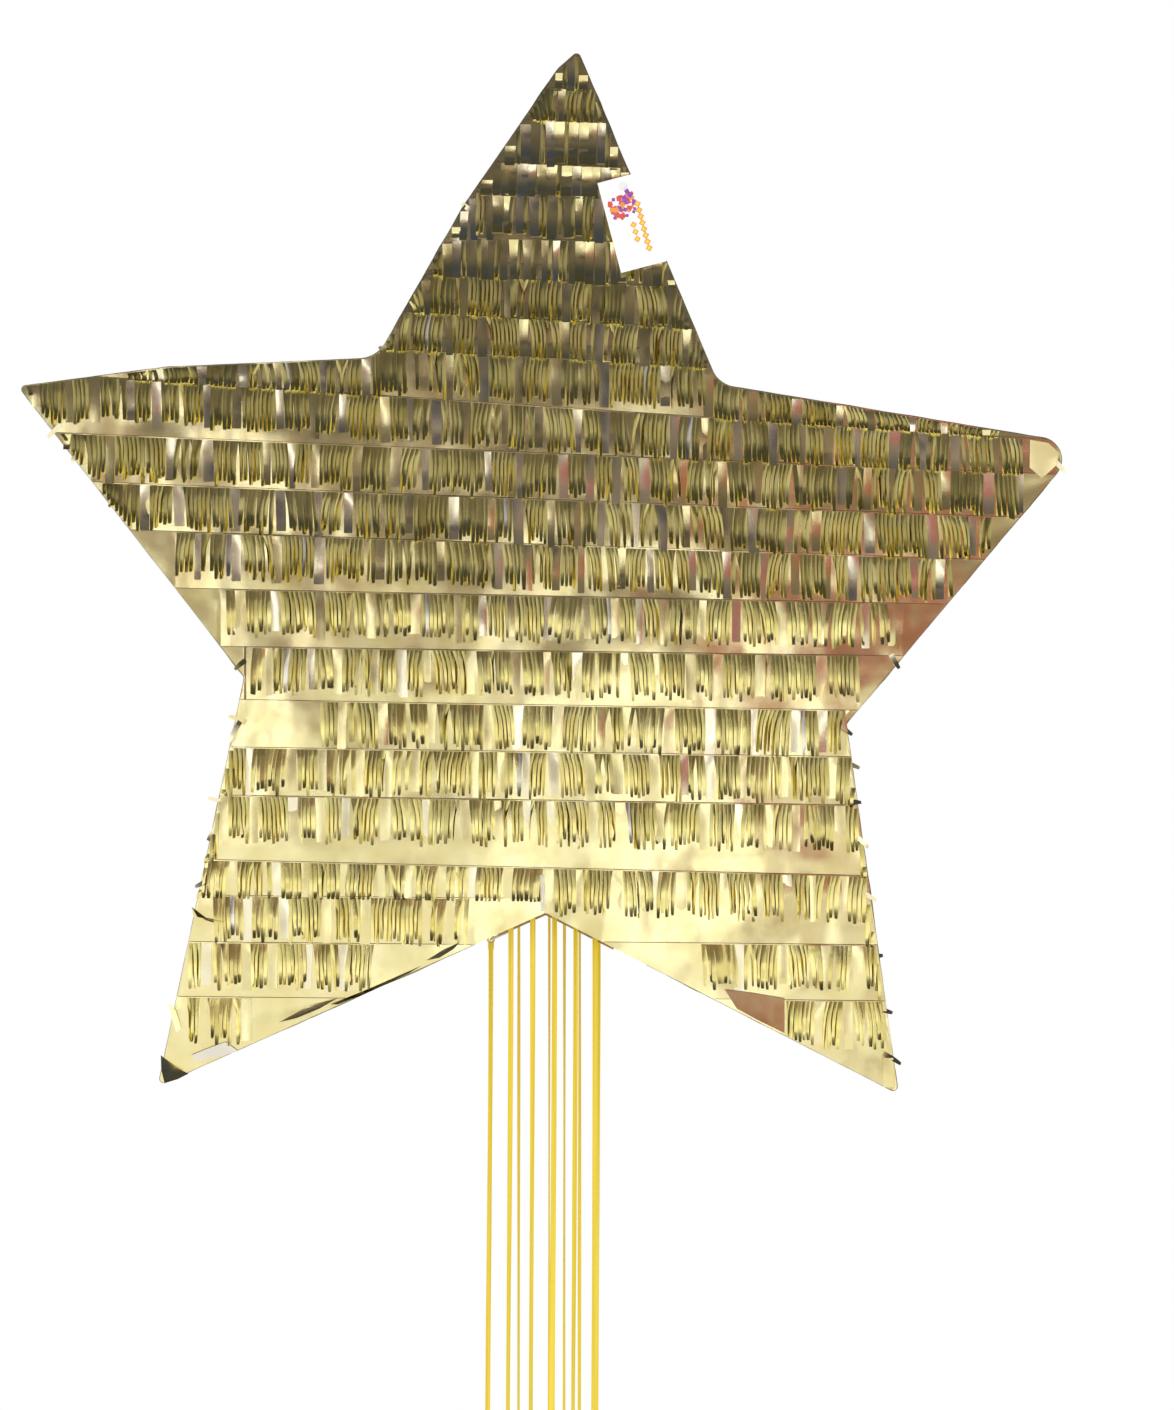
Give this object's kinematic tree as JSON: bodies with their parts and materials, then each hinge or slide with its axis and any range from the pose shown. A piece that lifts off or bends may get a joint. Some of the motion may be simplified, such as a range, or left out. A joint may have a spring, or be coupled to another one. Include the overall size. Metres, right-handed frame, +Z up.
{
  "type": "pinata",
  "caption": "Star-shaped pull-string pinata in gold foil fringe over a hollow card body, with a trap door, pull ribbons, fill door, hanging ring and hang tag.",
  "frame": {"origin": "the point inside the top of the hanging ring's wire where a hook bears, behind the star's top tip", "axes": "+Z up, +X to the right seen from the front, +Y from the star's front to its back"},
  "size_m": [0.5116, 0.1129, 0.8896],
  "materials": {
    "kraft_card": "matte",
    "gold_foil": "gloss",
    "yellow_ribbon": "satin",
    "steel": "satin",
    "tape": "satin",
    "tag_card": "satin",
    "clear_nylon": "satin"
  },
  "bodies": {
    "star": {"front_panel": "kraft_card", "back_panel": "kraft_card", "wall_top": "kraft_card", "wall_right": "kraft_card", "wall_low_right": "kraft_card", "wall_low_left": "kraft_card", "wall_left": "kraft_card", "wrap_left": "gold_foil", "wrap_right": "gold_foil", "fringe_01": "gold_foil", "fringe_02": "gold_foil", "fringe_03": "gold_foil", "fringe_04": "gold_foil", "fringe_05": "gold_foil", "fringe_06": "gold_foil", "fringe_07": "gold_foil", "fringe_08": "gold_foil", "fringe_09": "gold_foil", "fringe_10": "gold_foil", "fringe_11": "gold_foil", "fringe_12": "gold_foil", "fringe_13": "gold_foil", "fringe_14": "gold_foil", "fringe_15": "gold_foil", "fringe_16": "gold_foil", "fringe_17": "gold_foil", "fringe_18": "gold_foil", "fringe_19": "gold_foil", "fringe_20": "gold_foil", "fringe_21": "gold_foil", "fringe_22": "gold_foil", "fringe_23": "gold_foil", "fringe_24": "gold_foil", "back_fringe_upper": "gold_foil", "back_fringe_lower": "gold_foil", "hang_strap": "steel", "hang_rivets": "steel", "fill_tape": "tape", "trap_tape": "tape", "tag_pin": "clear_nylon"},
    "ring": {"hang_ring": "steel"},
    "fill_flap": {"fill_door": "kraft_card", "fill_cover": "gold_foil"},
    "trap_flap": {"trap_door": "kraft_card", "pull_loop": "steel"},
    "release_ribbon": {"release_eye": "yellow_ribbon", "ribbon_01": "yellow_ribbon"},
    "tag": {"hang_tag": "tag_card"},
    "pull_ribbon_02": {"ribbon_02": "yellow_ribbon"},
    "pull_ribbon_03": {"ribbon_03": "yellow_ribbon"},
    "pull_ribbon_04": {"ribbon_04": "yellow_ribbon"},
    "pull_ribbon_05": {"ribbon_05": "yellow_ribbon"},
    "pull_ribbon_06": {"ribbon_06": "yellow_ribbon"},
    "pull_ribbon_07": {"ribbon_07": "yellow_ribbon"},
    "pull_ribbon_08": {"ribbon_08": "yellow_ribbon"},
    "pull_ribbon_09": {"ribbon_09": "yellow_ribbon"},
    "pull_ribbon_10": {"ribbon_10": "yellow_ribbon"},
    "pull_ribbon_11": {"ribbon_11": "yellow_ribbon"}
  },
  "joints": [
    {"name": "ring_swing", "type": "hinge", "parent": "star", "child": "ring", "pos_m": [0, 0, -0.011], "axis": [-1, 0, 0], "range_deg": [0, 150]},
    {"name": "fill_door_swing", "type": "hinge", "parent": "star", "child": "fill_flap", "pos_m": [0, -0.002, -0.195], "axis": [1, 0, 0], "range_deg": [0, 100]},
    {"name": "trap_door_swing", "type": "hinge", "parent": "star", "child": "trap_flap", "pos_m": [0.018, -0.0523, -0.42478], "axis": [0, -1, 0], "range_deg": [0, 95]},
    {"name": "release_ribbon_swing", "type": "hinge", "parent": "trap_flap", "child": "release_ribbon", "pos_m": [-0.0438, -0.0523, -0.42236], "axis": [0, -1, 0], "range_deg": [-96, 1]},
    {"name": "tag_swing", "type": "hinge", "parent": "star", "child": "tag", "pos_m": [0.02177, -0.1095, -0.05001], "axis": [0, -1, 0], "range_deg": [-20, 10]},
    {"name": "ribbon_02_pull", "type": "slide", "parent": "star", "child": "pull_ribbon_02", "axis": [0, 0, -1], "range_m": [0, 0.06]},
    {"name": "ribbon_03_pull", "type": "slide", "parent": "star", "child": "pull_ribbon_03", "axis": [0, 0, -1], "range_m": [0, 0.06]},
    {"name": "ribbon_04_pull", "type": "slide", "parent": "star", "child": "pull_ribbon_04", "axis": [0, 0, -1], "range_m": [0, 0.06]},
    {"name": "ribbon_05_pull", "type": "slide", "parent": "star", "child": "pull_ribbon_05", "axis": [0, 0, -1], "range_m": [0, 0.06]},
    {"name": "ribbon_06_pull", "type": "slide", "parent": "star", "child": "pull_ribbon_06", "axis": [0, 0, -1], "range_m": [0, 0.06]},
    {"name": "ribbon_07_pull", "type": "slide", "parent": "star", "child": "pull_ribbon_07", "axis": [0, 0, -1], "range_m": [0, 0.06]},
    {"name": "ribbon_08_pull", "type": "slide", "parent": "star", "child": "pull_ribbon_08", "axis": [0, 0, -1], "range_m": [0, 0.06]},
    {"name": "ribbon_09_pull", "type": "slide", "parent": "star", "child": "pull_ribbon_09", "axis": [0, 0, -1], "range_m": [0, 0.06]},
    {"name": "ribbon_10_pull", "type": "slide", "parent": "star", "child": "pull_ribbon_10", "axis": [0, 0, -1], "range_m": [0, 0.06]},
    {"name": "ribbon_11_pull", "type": "slide", "parent": "star", "child": "pull_ribbon_11", "axis": [0, 0, -1], "range_m": [0, 0.06]}
  ],
  "couplings": [
    {"joint": "release_ribbon_swing", "follows": "trap_door_swing", "ratio": -1}
  ]
}
